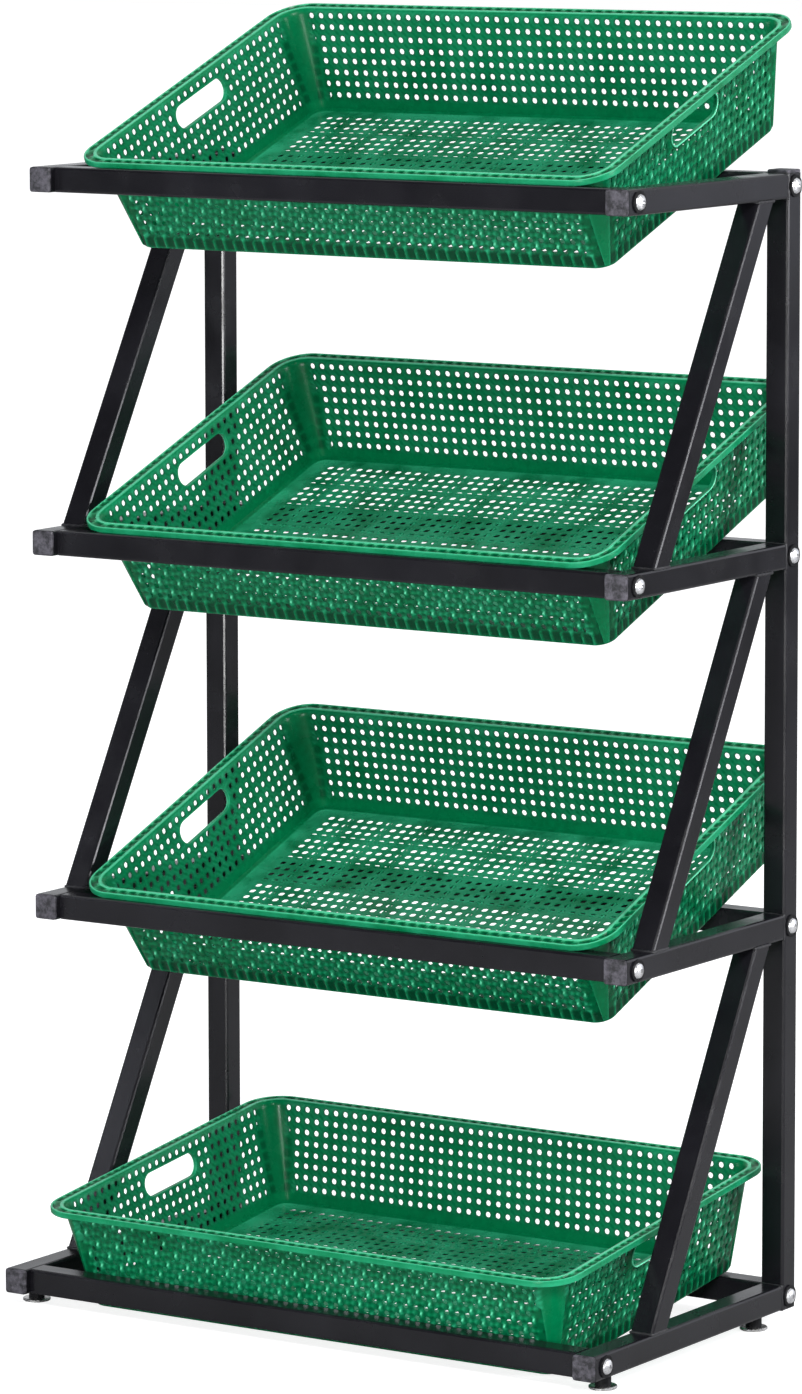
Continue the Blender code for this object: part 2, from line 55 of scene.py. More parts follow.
# Basket, in metres: X along its length, Y across, Z up from its underside. END_RUN and SIDE_RUN are how
# far its end and long walls lean out from the floor to the rim, and the corners are radii
HALF_LENGTH = 0.307
HALF_WIDTH = 0.203
HEIGHT = 0.107
RIM_DEPTH = 0.006
RIM_UNDERSIDE = HEIGHT - RIM_DEPTH
RIM_WIDTH = 0.014
END_RUN = 0.0185
SIDE_RUN = 0.018
FLOOR_CORNER = 0.018
RIM_CORNER = 0.038
TOP_HALF_LENGTH = HALF_LENGTH - RIM_WIDTH
TOP_HALF_WIDTH = HALF_WIDTH - RIM_WIDTH
TOP_CORNER = RIM_CORNER - RIM_WIDTH
FLOOR_HALF_LENGTH = TOP_HALF_LENGTH - END_RUN
FLOOR_HALF_WIDTH = TOP_HALF_WIDTH - SIDE_RUN
WALL = 0.0030

# Its walls are numbered anticlockwise: front, right end, rear and left end
FRONT, RIGHT, REAR, LEFT = range(4)
LONG_WALLS = (FRONT, REAR)
END_WALLS = (RIGHT, LEFT)
CORNER_STEPS = 5

# Holes of the walls; row 0 is the top row. HOLE_ROUND draws their corners in, and a hole that would be
# narrower than LEAST_HOLE at the corner strip is left out
HOLE_HALF = 0.0030
HOLE_ROUND = 0.0008
LEAST_HOLE = 0.0014
PITCH = 0.01183
ROW_PITCH = 0.01162
ROW_COUNT = 8
TOP_ROW_Z = 0.0998
LONG_COLUMNS = 46
END_COLUMNS = 28

# Where the plain corner strips begin: q at STRIP_Z, and how q grows with z
STRIP_Z = 0.0999
LONG_STRIP_Q = 0.2689
LONG_STRIP_SLOPE = 0.178
END_STRIP_Q = 0.1612
END_STRIP_SLOPE = 0.150

# Handle slot, and the holes that it takes the place of
SLOT_ROWS = (1, 2)
SLOT_COLUMNS = range(10, 18)
SLOT_Z = HEIGHT - 0.025
SLOT_RADIUS = 0.012
SLOT_STRAIGHT = 0.0450 - SLOT_RADIUS
SLOT_LIP = 0.0016

# Rings round the slot, from outside to inside: radius, inset into the wall, height of the lip
SLOT_RINGS = (
    (0.0138, 0.0, 0.0),
    (0.0136, 0.0, 0.0012),
    (0.0129, 0.0, SLOT_LIP),
    (0.0122, 0.0, 0.0012),
    (SLOT_RADIUS, 0.0, 0.0002),
    (SLOT_RADIUS, WALL, 0.0),
    (0.0128, WALL, 0.0),
)

# Woven relief of the outside: its depth, and how far into it each place lies
RELIEF = 0.0022
CROSSING_UNDER = 0.55
UPRIGHT_MIDDLE = 0.75
UPRIGHT_RAISED = 0.50
LEVEL_MIDDLE = 0.70
HOLE_EDGE = 0.85

# Band below the lowest row. Outside: z, inset and flute share; inside: z and inset
FOOT_OUTSIDE = (
    (0.0, 0.0040, 0.0),
    (0.0009, 0.0019, 0.0),
    (0.0022, 0.0006, 0.3),
    (0.0040, 0.0, 0.7),
    (0.0085, 0.0, 0.8),
    (0.0120, 0.0, 0.8),
)
FOOT_CLOSING_INSET = 0.0080
FOOT_INSIDE = (
    (0.0030, FOOT_CLOSING_INSET),
    (0.0034, 0.0050),
    (0.0044, 0.0030),
    (0.0062, WALL + 0.0002),
    (0.0090, WALL),
    (0.0125, WALL),
)

# Rim: where its two beads, its groove and the groove's ribs lie
RIM_BEAD_Z = 0.1065
RIM_GROOVE_START = 0.004
RIM_GROOVE_END = 0.0115
RIM_RIB_Z = 0.1055

# Depth that the green plastic's colours follow: 0 on a crest, 0.5 where it is plain, 1 in a hollow;
# DEPTH_WEAVE is that of the weave's lowest places. The colours paint a highlight on the crests and
# shade in the hollows. The inside, its corners, its hole edges, the floor and the rim's groove are
# given deeper values to paint shade there, and the rim's beads and ribs shallower ones to paint a
# highlight on them
DEPTH_PLAIN = 0.5
DEPTH_WEAVE = 0.8
DEPTH_INSIDE = 0.52
DEPTH_INSIDE_CORNER = 0.58
DEPTH_INSIDE_HOLE = 0.74
DEPTH_FLOOR = 0.58
DEPTH_RIM_BEAD = 0.26
DEPTH_RIM_GROOVE = 0.78
DEPTH_RIM_RIB = 0.38

# Basket's floor: a pierced plate in a solid border, on thin ribs. The ribs along X lie FLOOR_RIB_LIFT
# higher than the others, so that no two faces coincide where they cross
FLOOR_TOP = 0.003
FLOOR_TOP_GAP = 0.0001
FLOOR_PANEL = 0.0014
FLOOR_BORDER_LOW = 0.0003
FLOOR_MARGIN = 0.0070
FLOOR_CORNER_CUT = 0.004
FLOOR_PITCH = 0.0119
FLOOR_COLUMNS = 42
FLOOR_ROWS = 26
FLOOR_HOLE_HALF = 0.0038
FLOOR_RIB_EVERY = 4
FLOOR_RIB_FIRST = 2
FLOOR_RIB_HALF = 0.0007
FLOOR_RIB_END_GAP = 0.0005
FLOOR_RIB_LIFT = 0.00005

# Section of such a rib: places as shares of its half thickness, and z
FLOOR_RIB_SECTION = ((-0.6, 0.0004), (0.6, 0.0004), (1.0, 0.0023), (-1.0, 0.0023))

# Sharp angles, in degrees
SHARP_BASKET = 38.0
SHARP_WELD = 60.0
SHARP_NODE = 50.0

# Weld beads. Corners of a strut that differ less than SAME_HEIGHT in z belong to the same end
WELD_STEP = 0.0022
WELD_LEAST_STEPS = 4
WELD_SIDES = 8
WELD_INSET = 0.0006
ARM_WELD_RADIUS = 0.0013
ARM_WELD_GAP = 0.00015
STRUT_WELD_RADIUS = 0.0014
SAME_HEIGHT = 0.0002

# Where a second material starts: the washer's distance from its bolt's axis, and the neck's height
WASHER_START = 0.0079
NECK_START = 0.0032

# Camera, fitted to the photo's edges: angles in radians, distances in metres
AZIMUTH = 0.5821470
ELEVATION = 0.1174078
ROLL = -0.0015765
DISTANCE = 6.668324
TARGET_X = -0.1198434
TARGET_Z = 0.7381469
FOCAL_PIXELS = 6579.863
SHIFT_PIXELS = -150.0
IMAGE_HEIGHT = 1394.0
SENSOR = 36.0

# An upright line of a wall's mesh: its kind is corner, hole_low, hole_mid, hole_high or strand, q is its
# place along the wall, and a corner line's share is how far towards the corner's middle it lies
Line = namedtuple("Line", "wall kind column q share")

# A level of a pierced wall: its kind is hole_low, hole_mid, hole_high or strand
Level = namedtuple("Level", "kind row z")

# All lines and levels, and the points where they meet, outside and inside
Grid = namedtuple("Grid", "lines levels outer inner")

# The lines and levels of an end wall between which the handle slot lies
Field = namedtuple("Field", "wall first last low high")

# A line of the floor's mesh: its kind is edge, low, mid or high, and number is its hole's number
FloorLine = namedtuple("FloorLine", "place kind number")


def mix(low, high, share):
    return low + (high - low) * share


def row_z(row):
    return TOP_ROW_Z - ROW_PITCH * row


def column_count(wall):
    return LONG_COLUMNS if wall in LONG_WALLS else END_COLUMNS


def strip_edge(wall, z):
    """Where the pierced part of a wall ends and the plain corner strip begins."""
    if wall in LONG_WALLS:
        return LONG_STRIP_Q + LONG_STRIP_SLOPE * (z - STRIP_Z)
    return END_STRIP_Q + END_STRIP_SLOPE * (z - STRIP_Z)


def wall_size(wall, z):
    """At height z: a wall's half length, its distance from the middle, and the corner's radius."""
    share = z / RIM_UNDERSIDE
    length = mix(FLOOR_HALF_LENGTH, TOP_HALF_LENGTH, share)
    width = mix(FLOOR_HALF_WIDTH, TOP_HALF_WIDTH, share)
    corner = mix(FLOOR_CORNER, TOP_CORNER, share)
    if wall in LONG_WALLS:
        return length, width, corner
    return width, length, corner


def wall_point(wall, q, z, inset, out=0.0):
    """A point of the wall: q along it, z up, inset inwards; past its flat part it turns the corner."""
    half, reach, corner = wall_size(wall, z)
    flat = half - corner
    radius = corner - inset + out
    if abs(q) <= flat:
        along = q
        away = reach - inset + out
    else:
        turn = min((abs(q) - flat) / corner, math.pi / 4)
        along = math.copysign(flat + radius * math.sin(turn), q)
        away = reach - corner + radius * math.cos(turn)
    if wall == FRONT:
        return (along, -away, z)
    if wall == RIGHT:
        return (away, along, z)
    if wall == REAR:
        return (-along, away, z)
    return (-away, -along, z)


def wall_lines():
    """Every upright line of the mesh, anticlockwise round the basket."""
    lines = []
    for wall in (FRONT, RIGHT, REAR, LEFT):
        count = column_count(wall)
        first = -(count - 1) / 2 * PITCH
        edge = first - HOLE_HALF
        for step in range(CORNER_STEPS):
            lines.append(Line(wall, "corner", None, edge, 1 - step / CORNER_STEPS))
        for column in range(count):
            q = first + column * PITCH
            lines.append(Line(wall, "hole_low", column, q - HOLE_HALF, 0))
            lines.append(Line(wall, "hole_mid", column, q, 0))
            lines.append(Line(wall, "hole_high", column, q + HOLE_HALF, 0))
            if column < count - 1:
                lines.append(Line(wall, "strand", column, q + PITCH / 2, 0))
        for step in range(1, CORNER_STEPS):
            lines.append(Line(wall, "corner", None, -edge, step / CORNER_STEPS))
    return lines


def wall_levels():
    """Every level of the pierced walls, from the bottom up."""
    levels = []
    for row in range(ROW_COUNT - 1, -1, -1):
        z = row_z(row)
        levels.append(Level("hole_low", row, z - HOLE_HALF))
        levels.append(Level("hole_mid", row, z))
        levels.append(Level("hole_high", row, z + HOLE_HALF))
        if row:
            levels.append(Level("strand", row, z + ROW_PITCH / 2))
    return levels


def hole_cut(wall, column, row):
    """How far a hole is cut back at the corner strip, or None where there is no hole."""
    if wall in END_WALLS and row in SLOT_ROWS and column in SLOT_COLUMNS:
        return None
    q = abs((column - (column_count(wall) - 1) / 2) * PITCH)
    edge = strip_edge(wall, row_z(row))
    if q - HOLE_HALF + LEAST_HOLE > edge:
        return None
    return max(0.0, q + HOLE_HALF - edge)


def plain_q(line, z):
    """q of a mesh line where there are no holes; the corner's lines are spread over the corner."""
    if line.kind != "corner":
        return line.q
    half, _, corner = wall_size(line.wall, z)
    corner_middle = half - corner + corner * math.pi / 4
    return math.copysign(mix(abs(line.q), corner_middle, line.share), line.q)


def line_q(line, level):
    """q of a mesh line at a level, with a hole's corners drawn in and its outer edge cut back."""
    q = plain_q(line, level.z)
    if line.kind not in ("hole_low", "hole_high") or level.kind == "strand":
        return q
    cut = hole_cut(line.wall, line.column, level.row)
    if cut is None:
        return q
    at_outer_edge = (line.kind == "hole_low") == (q < 0)
    if at_outer_edge:
        q -= math.copysign(cut, q)
    if level.kind != "hole_mid":
        q += HOLE_ROUND if line.kind == "hole_low" else -HOLE_ROUND
    return q


def line_z(line, level):
    """z of a mesh line at a level, with a hole's corners drawn in, so that it is a rounded square."""
    if line.kind in ("hole_low", "hole_high"):
        if level.kind == "hole_low":
            return level.z + HOLE_ROUND
        if level.kind == "hole_high":
            return level.z - HOLE_ROUND
    return level.z


def weave_share(line, level):
    """How far into the woven relief the outside lies, where strands pass over and under each other."""
    if line.kind == "corner":
        return 0.0
    over = (line.column + level.row) % 2 == 0
    if line.kind == "strand" and level.kind == "strand":
        return 0.0 if over else CROSSING_UNDER
    if line.kind == "strand":
        if level.kind == "hole_mid":
            return UPRIGHT_MIDDLE
        raised = over if level.kind == "hole_high" else not over
        return UPRIGHT_RAISED if raised else 1.0
    if level.kind == "strand":
        if line.kind == "hole_mid":
            return LEVEL_MIDDLE
        lowered = over if line.kind == "hole_high" else not over
        return 1.0 if lowered else CROSSING_UNDER
    return HOLE_EDGE


class Mesh:
    """Collects points, their depths and faces."""

    def __init__(self):
        self.points = []
        self.depths = []
        self.faces = []

    def add(self, point, depth=DEPTH_PLAIN):
        """Adds a point and returns its number."""
        self.points.append(point)
        self.depths.append(depth)
        return len(self.points) - 1

    def strip(self, lower, upper):
        """Joins two closed rings of points by a ring of faces."""
        for index in range(len(lower)):
            after = (index + 1) % len(lower)
            self.faces.append((lower[index], lower[after], upper[after], upper[index]))


def wall_grid(mesh):
    """Adds the points of the pierced walls, outside and inside."""
    grid = Grid(wall_lines(), wall_levels(), [], [])
    for line in grid.lines:
        outer_column, inner_column = [], []
        for level in grid.levels:
            q = line_q(line, level)
            z = line_z(line, level)
            share = weave_share(line, level)
            at_corner = line.kind == "corner"
            depth = DEPTH_PLAIN if at_corner else DEPTH_WEAVE * share
            outer_column.append(mesh.add(wall_point(line.wall, q, z, share * RELIEF), depth))
            # Inside, the corners and the hole edges are given deeper values, to paint shade there.
            depth = DEPTH_INSIDE_CORNER if at_corner else DEPTH_INSIDE
            if line.kind.startswith("hole") and level.kind.startswith("hole"):
                depth = DEPTH_INSIDE_HOLE
            inner_column.append(mesh.add(wall_point(line.wall, q, z, WALL), depth))
        grid.outer.append(outer_column)
        grid.inner.append(inner_column)
    return grid


def foot_rings_outside(mesh, lines):
    """Rings of the band under the lowest row, fluted between its upright strands."""
    rings = []
    for z, inset, share in FOOT_OUTSIDE:
        ring = []
        for line in lines:
            flute = 0.0 if line.kind in ("corner", "strand") else share * RELIEF
            point = wall_point(line.wall, plain_q(line, z), z, inset + flute)
            ring.append(mesh.add(point, DEPTH_PLAIN + flute / RELIEF / 2))
        rings.append(ring)
    return rings


def plain_ring(mesh, lines, z, inset):
    """A ring of points at one height, equally far into the wall all round."""
    return [mesh.add(wall_point(line.wall, plain_q(line, z), z, inset)) for line in lines]


def rim_profile(index):
    """The rim's section, as distance out from the wall's top and z.

    Ribs lie slantwise in the groove between its two beads, so the section changes from line to line.
    """
    phase = index % 4
    rib = phase in (0, 1)
    slant = phase in (1, 2)
    return [
        (0.0006, 0.1044),
        (0.0112, 0.1044),
        (0.0116, 0.1040),
        (0.0117, 0.1013),
        (0.0121, 0.1010),
        (0.0135, 0.1010),
        (0.0140, 0.1016),
        (0.0140, 0.1054),
        (0.0137, 0.1063),
        (0.0130, 0.10675),
        (0.0120, 0.1068),
        (0.0112, 0.1061 if slant else 0.1050),
        (0.0100, 0.1060 if slant else 0.1046),
        (0.0060, 0.1060 if rib else 0.1046),
        (0.0048, 0.1061 if rib else 0.1050),
        (0.0040, 0.1068),
        (0.0030, 0.1070),
        (0.0016, 0.1068),
        (0.0000, 0.1060),
        (-0.0012, 0.1048),
    ]


def rim_depth(away, z):
    """The rim's two beads are crests, and the groove between them a hollow with raised ribs; beads and
    ribs get a painted highlight, the groove painted shade.
    """
    if z > RIM_BEAD_Z:
        return DEPTH_RIM_BEAD
    if RIM_GROOVE_START < away < RIM_GROOVE_END:
        return DEPTH_RIM_GROOVE if z < RIM_RIB_Z else DEPTH_RIM_RIB
    return DEPTH_PLAIN


def rim_rings(mesh, lines):
    """The rim's rings, one for each point of its section, from the wall's outside to its inside."""
    rings = [[] for _ in rim_profile(0)]
    for index, line in enumerate(lines):
        q = plain_q(line, RIM_UNDERSIDE)
        for ring, (away, z) in zip(rings, rim_profile(index)):
            x, y, _ = wall_point(line.wall, q, RIM_UNDERSIDE, 0.0, away)
            ring.append(mesh.add((x, y, z), rim_depth(away, z)))
    return rings


def slot_field(grid, wall):
    """Finds the lines and levels next to the holes that the handle slot takes the place of."""
    before = (wall, "hole_high", SLOT_COLUMNS[0] - 1)
    behind = (wall, "hole_low", SLOT_COLUMNS[-1] + 1)
    below = ("hole_high", SLOT_ROWS[-1] + 1)
    above = ("hole_low", SLOT_ROWS[0] - 1)
    first = next(i for i, line in enumerate(grid.lines) if line[:3] == before)
    last = next(i for i, line in enumerate(grid.lines) if line[:3] == behind)
    low = next(j for j, level in enumerate(grid.levels) if level[:2] == below)
    high = next(j for j, level in enumerate(grid.levels) if level[:2] == above)
    return Field(wall, first, last, low, high)


def slot_patch(mesh, grid, field):
    """Fills the field left free for the handle slot: a lipped ring outside, a plain one inside."""
    border = [(i, field.low) for i in range(field.first, field.last)]
    border += [(field.last, j) for j in range(field.low, field.high)]
    border += [(i, field.high) for i in range(field.last, field.first, -1)]
    border += [(field.first, j) for j in range(field.high, field.low, -1)]
    rings = [[] for _ in SLOT_RINGS]
    for i, j in border:
        q = line_q(grid.lines[i], grid.levels[j])
        z = line_z(grid.lines[i], grid.levels[j])
        centre = max(-SLOT_STRAIGHT, min(SLOT_STRAIGHT, q))
        away_q = q - centre
        away_z = z - SLOT_Z
        size = math.hypot(away_q, away_z)
        for ring, (radius, inset, out) in zip(rings, SLOT_RINGS):
            at_q = centre + away_q / size * radius
            at_z = SLOT_Z + away_z / size * radius
            depth = DEPTH_PLAIN - out / (2 * SLOT_LIP)
            ring.append(mesh.add(wall_point(field.wall, at_q, at_z, inset, out), depth))
    outside = [grid.outer[i][j] for i, j in border]
    inside = [grid.inner[i][j] for i, j in border]
    chain = [outside] + rings + [inside]
    for lower, upper in zip(chain, chain[1:]):
        mesh.strip(lower, upper)


def hole_loop(i, j):
    """The eight grid places round a hole, from its lower first corner on."""
    loop = [(i, j), (i + 1, j), (i + 2, j), (i + 2, j + 1)]
    return loop + [(i + 2, j + 2), (i + 1, j + 2), (i, j + 2), (i, j + 1)]


def pierce(mesh, grid):
    """Faces of the pierced walls, with a tunnel at each hole and the handle slots left free."""
    outer, inner = grid.outer, grid.inner
    fields = {}
    for wall in END_WALLS:
        fields[wall] = slot_field(grid, wall)
        slot_patch(mesh, grid, fields[wall])
    for i, line in enumerate(grid.lines):
        after = (i + 1) % len(grid.lines)
        field = fields.get(line.wall)
        for j, level in enumerate(grid.levels[:-1]):
            if field and field.first <= i < field.last and field.low <= j < field.high:
                continue
            in_hole = line.kind in ("hole_low", "hole_mid") and level.kind in ("hole_low", "hole_mid")
            if in_hole and hole_cut(line.wall, line.column, level.row) is not None:
                continue
            mesh.faces.append((outer[i][j], outer[after][j], outer[after][j + 1], outer[i][j + 1]))
            mesh.faces.append((inner[i][j], inner[i][j + 1], inner[after][j + 1], inner[after][j]))
    for i, line in enumerate(grid.lines):
        if line.kind != "hole_low":
            continue
        for j, level in enumerate(grid.levels):
            if level.kind != "hole_low" or hole_cut(line.wall, line.column, level.row) is None:
                continue
            loop = hole_loop(i, j)
            mesh.strip([outer[a][b] for a, b in loop], [inner[a][b] for a, b in loop])


def build_walls(mesh):
    """The four walls: the band under the holes, the pierced part, the rim and the inside."""
    grid = wall_grid(mesh)
    lines = grid.lines
    foot_outside = foot_rings_outside(mesh, lines)
    foot_inside = [plain_ring(mesh, lines, z, inset) for z, inset in FOOT_INSIDE]
    rim = rim_rings(mesh, lines)
    outer_low = [column[0] for column in grid.outer]
    outer_high = [column[-1] for column in grid.outer]
    inner_low = [column[0] for column in grid.inner]
    inner_high = [column[-1] for column in grid.inner]
    for lower, upper in zip(foot_outside, foot_outside[1:] + [outer_low]):
        mesh.strip(lower, upper)
    for lower, upper in zip([outer_high] + rim, rim + [inner_high]):
        mesh.strip(lower, upper)
    for lower, upper in zip(foot_inside, foot_inside[1:] + [inner_low]):
        mesh.strip(lower, upper)
    closing = plain_ring(mesh, lines, 0.0, FOOT_CLOSING_INSET)
    mesh.strip(foot_outside[0], closing)
    mesh.strip(closing, foot_inside[0])
    pierce(mesh, grid)


def floor_lines(count, reach):
    """Lines of the floor's mesh along one axis."""
    first = -(count - 1) / 2 * FLOOR_PITCH
    lines = [FloorLine(-reach, "edge", None)]
    for number in range(count):
        place = first + number * FLOOR_PITCH
        lines.append(FloorLine(place - FLOOR_HOLE_HALF, "low", number))
        lines.append(FloorLine(place, "mid", number))
        lines.append(FloorLine(place + FLOOR_HOLE_HALF, "high", number))
    lines.append(FloorLine(reach, "edge", None))
    return lines


def floor_place(line_x, line_y):
    """Where two lines of the floor meet; holes have rounded corners, and the plate's are cut back."""
    x, y = line_x.place, line_y.place
    if line_x.kind in ("low", "high") and line_y.kind in ("low", "high"):
        x += HOLE_ROUND if line_x.kind == "low" else -HOLE_ROUND
        y += HOLE_ROUND if line_y.kind == "low" else -HOLE_ROUND
    if line_x.kind == "edge" and line_y.kind == "edge":
        x -= math.copysign(FLOOR_CORNER_CUT, x)
        y -= math.copysign(FLOOR_CORNER_CUT, y)
    return x, y


def build_floor(mesh):
    """The pierced floor plate, with a thin rib under every fourth line of holes, both ways."""
    across = floor_lines(FLOOR_COLUMNS, FLOOR_HALF_LENGTH - FLOOR_MARGIN)
    along = floor_lines(FLOOR_ROWS, FLOOR_HALF_WIDTH - FLOOR_MARGIN)
    top, bottom = [], []
    for line_x in across:
        top_column, bottom_column = [], []
        for line_y in along:
            x, y = floor_place(line_x, line_y)
            at_edge = "edge" in (line_x.kind, line_y.kind)
            # The floor plate is given a deeper value than its border, to paint shade on it.
            depth = DEPTH_PLAIN if at_edge else DEPTH_FLOOR
            low = FLOOR_BORDER_LOW if at_edge else FLOOR_TOP - FLOOR_PANEL
            top_column.append(mesh.add((x, y, FLOOR_TOP - FLOOR_TOP_GAP), depth))
            bottom_column.append(mesh.add((x, y, low)))
        top.append(top_column)
        bottom.append(bottom_column)
    last_i, last_j = len(across) - 1, len(along) - 1
    for i in range(last_i):
        for j in range(last_j):
            if across[i].kind in ("low", "mid") and along[j].kind in ("low", "mid"):
                continue
            mesh.faces.append((top[i][j], top[i + 1][j], top[i + 1][j + 1], top[i][j + 1]))
            mesh.faces.append((bottom[i][j], bottom[i][j + 1], bottom[i + 1][j + 1], bottom[i + 1][j]))
    for i, line_x in enumerate(across):
        for j, line_y in enumerate(along):
            if line_x.kind == "low" and line_y.kind == "low":
                loop = hole_loop(i, j)
                mesh.strip([top[a][b] for a, b in loop], [bottom[a][b] for a, b in loop])
    border = [(i, 0) for i in range(last_i)]
    border += [(last_i, j) for j in range(last_j)]
    border += [(i, last_j) for i in range(last_i, 0, -1)]
    border += [(0, j) for j in range(last_j, 0, -1)]
    mesh.strip([top[a][b] for a, b in border], [bottom[a][b] for a, b in border])
    for lines, reach, along_y in ((across, along[-1].place, True), (along, across[-1].place, False)):
        for line in lines:
            if line.kind == "mid" and line.number % FLOOR_RIB_EVERY == FLOOR_RIB_FIRST:
                add_rib(mesh, line.place, reach, along_y)


def add_rib(mesh, place, reach, along_y):
    """A thin rib under the floor: a tapered bar, its foot narrower than its root."""
    rings = []
    for end in (-reach + FLOOR_RIB_END_GAP, reach - FLOOR_RIB_END_GAP):
        ring = []
        for offset, z in FLOOR_RIB_SECTION:
            across = place + offset * FLOOR_RIB_HALF
            point = (across, end, z) if along_y else (end, across, z + FLOOR_RIB_LIFT)
            ring.append(mesh.add(point))
        rings.append(ring)
    mesh.strip(rings[0], rings[1])
    mesh.faces.append(tuple(rings[0]))
    mesh.faces.append(tuple(rings[1]))


def finish_mesh(name, mesh, material, sharp):
    """Turns the points and faces into mesh data, with the depths as an attribute of its points."""
    data = bpy.data.meshes.new(name)
    data.from_pydata(mesh.points, [], mesh.faces)
    bm = bmesh.new()
    bm.from_mesh(data)
    bmesh.ops.recalc_face_normals(bm, faces=bm.faces)
    bm.to_mesh(data)
    bm.free()
    depth = data.attributes.new("depth", "FLOAT", "POINT")
    depth.data.foreach_set("value", mesh.depths)
    data.materials.append(material)
    data.shade_smooth()
    data.set_sharp_from_angle(angle=math.radians(sharp))
    return data


def add_piece(name, data):
    piece = bpy.data.objects.new(name, data)
    bpy.context.scene.collection.objects.link(piece)
    return piece


# Materials


def set_inputs(node, **values):
    """Sets sockets on a node by name, with _ for a space."""
    for name, value in values.items():
        node.inputs[name.replace("_", " ")].default_value = value


class Nodes:
    """A short way to write a material's node tree."""

    # Sockets of a Mix node that mixes colours
    MIX_SHARE = 0
    MIX_FIRST = 6
    MIX_SECOND = 7
    MIX_RESULT = 2

    def __init__(self, name):
        self.material = bpy.data.materials.new(name)
        self.material.use_nodes = True
        self.tree = self.material.node_tree
        self.shader = self.tree.nodes["Principled BSDF"]
        self.place = self.add("ShaderNodeTexCoord").outputs["Object"]

    def add(self, kind, **values):
        node = self.tree.nodes.new(kind)
        for key, value in values.items():
            setattr(node, key, value)
        return node

    def link(self, source, target):
        self.tree.links.new(source, target)

    def noise(self, scale, detail=3.0, rough=0.55, stretch=None):
        node = self.add("ShaderNodeTexNoise")
        set_inputs(node, Scale=scale, Detail=detail, Roughness=rough)
        source = self.place
        if stretch:
            shape = self.add("ShaderNodeMapping")
            set_inputs(shape, Scale=stretch)
            self.link(source, shape.inputs["Vector"])
            source = shape.outputs["Vector"]
        self.link(source, node.inputs["Vector"])
        return node.outputs["Fac"]

    def span(self, source, low, high, to_low=0.0, to_high=1.0):
        node = self.add("ShaderNodeMapRange")
        set_inputs(node, From_Min=low, From_Max=high, To_Min=to_low, To_Max=to_high)
        self.link(source, node.inputs["Value"])
        return node.outputs["Result"]

    def blend(self, share, first, second):
        node = self.add("ShaderNodeMix", data_type="RGBA")
        for number, value in ((self.MIX_FIRST, first), (self.MIX_SECOND, second)):
            if isinstance(value, tuple):
                node.inputs[number].default_value = (*value, 1.0)
            else:
                self.link(value, node.inputs[number])
        self.link(share, node.inputs[self.MIX_SHARE])
        return node.outputs[self.MIX_RESULT]

    def product(self, first, second):
        node = self.add("ShaderNodeMath", operation="MULTIPLY")
        self.link(first, node.inputs[0])
        self.link(second, node.inputs[1])
        return node.outputs[0]

    def edges(self, low, high):
        """How far the mesh bends outwards, by Geometry's pointiness, which is 0.5 where it is flat."""
        return self.span(self.add("ShaderNodeNewGeometry").outputs["Pointiness"], low, high)

    def depth(self, low, high, to_low=0.0, to_high=1.0):
        """How deep the point lies in the moulded relief, as its mesh notes it."""
        source = self.add("ShaderNodeAttribute", attribute_type="GEOMETRY", attribute_name="depth")
        return self.span(source.outputs["Fac"], low, high, to_low, to_high)

    def rounding(self, low, high):
        """Where the smoothed surface leaves the flat face, which is along rounded edges."""
        shape = self.add("ShaderNodeNewGeometry")
        dot = self.add("ShaderNodeVectorMath", operation="DOT_PRODUCT")
        self.link(shape.outputs["Normal"], dot.inputs[0])
        self.link(shape.outputs["True Normal"], dot.inputs[1])
        return self.span(dot.outputs["Value"], 1.0 - low, 1.0 - high)

    def bump(self, source, strength, distance):
        node = self.add("ShaderNodeBump")
        set_inputs(node, Strength=strength, Distance=distance)
        self.link(source, node.inputs["Height"])
        self.link(node.outputs["Normal"], self.shader.inputs["Normal"])

    def shade(self, colour, rough, **values):
        """Links colour and roughness, sets the shader's other values, and returns the material."""
        self.link(colour, self.shader.inputs["Base Color"])
        self.link(rough, self.shader.inputs["Roughness"])
        set_inputs(self.shader, **values)
        return self.material


def powder_coat():
    """Semi-gloss black coat with fine light specks, and a painted highlight along rounded edges, broken
    up like rubbed paint.
    """
    n = Nodes("black_powder_coat")
    cloud = n.span(n.noise(9.0, 4.0), 0.35, 0.65)
    base = n.blend(cloud, (0.0042, 0.0040, 0.0056), (0.0088, 0.0085, 0.0112))
    speck = n.span(n.noise(420.0, 2.0, 0.7), 0.72, 0.82)
    dusty = n.blend(speck, base, (0.035, 0.035, 0.040))
    # Painted highlight along the rounded edges, in broken patches like rubbed paint.
    rubbed_edge_highlight = n.product(n.rounding(0.003, 0.035), n.span(n.noise(38.0, 4.0, 0.6), 0.35, 0.58))
    colour = n.blend(rubbed_edge_highlight, dusty, (0.120, 0.120, 0.140))
    rough = n.span(n.noise(24.0, 4.0), 0.3, 0.7, 0.17, 0.30)
    n.bump(n.noise(650.0, 2.0), 0.14, 0.0003)
    return n.shade(colour, rough, Specular_IOR_Level=0.36)


def weld_paint():
    """The same coat over weld beads, which is rougher there."""
    n = Nodes("painted_weld")
    cloud = n.span(n.noise(60.0, 3.0), 0.35, 0.65)
    colour = n.blend(cloud, (0.009, 0.009, 0.011), (0.028, 0.028, 0.031))
    rough = n.span(n.noise(90.0, 3.0), 0.3, 0.7, 0.25, 0.50)
    n.bump(n.noise(300.0, 3.0), 0.35, 0.0006)
    return n.shade(colour, rough)


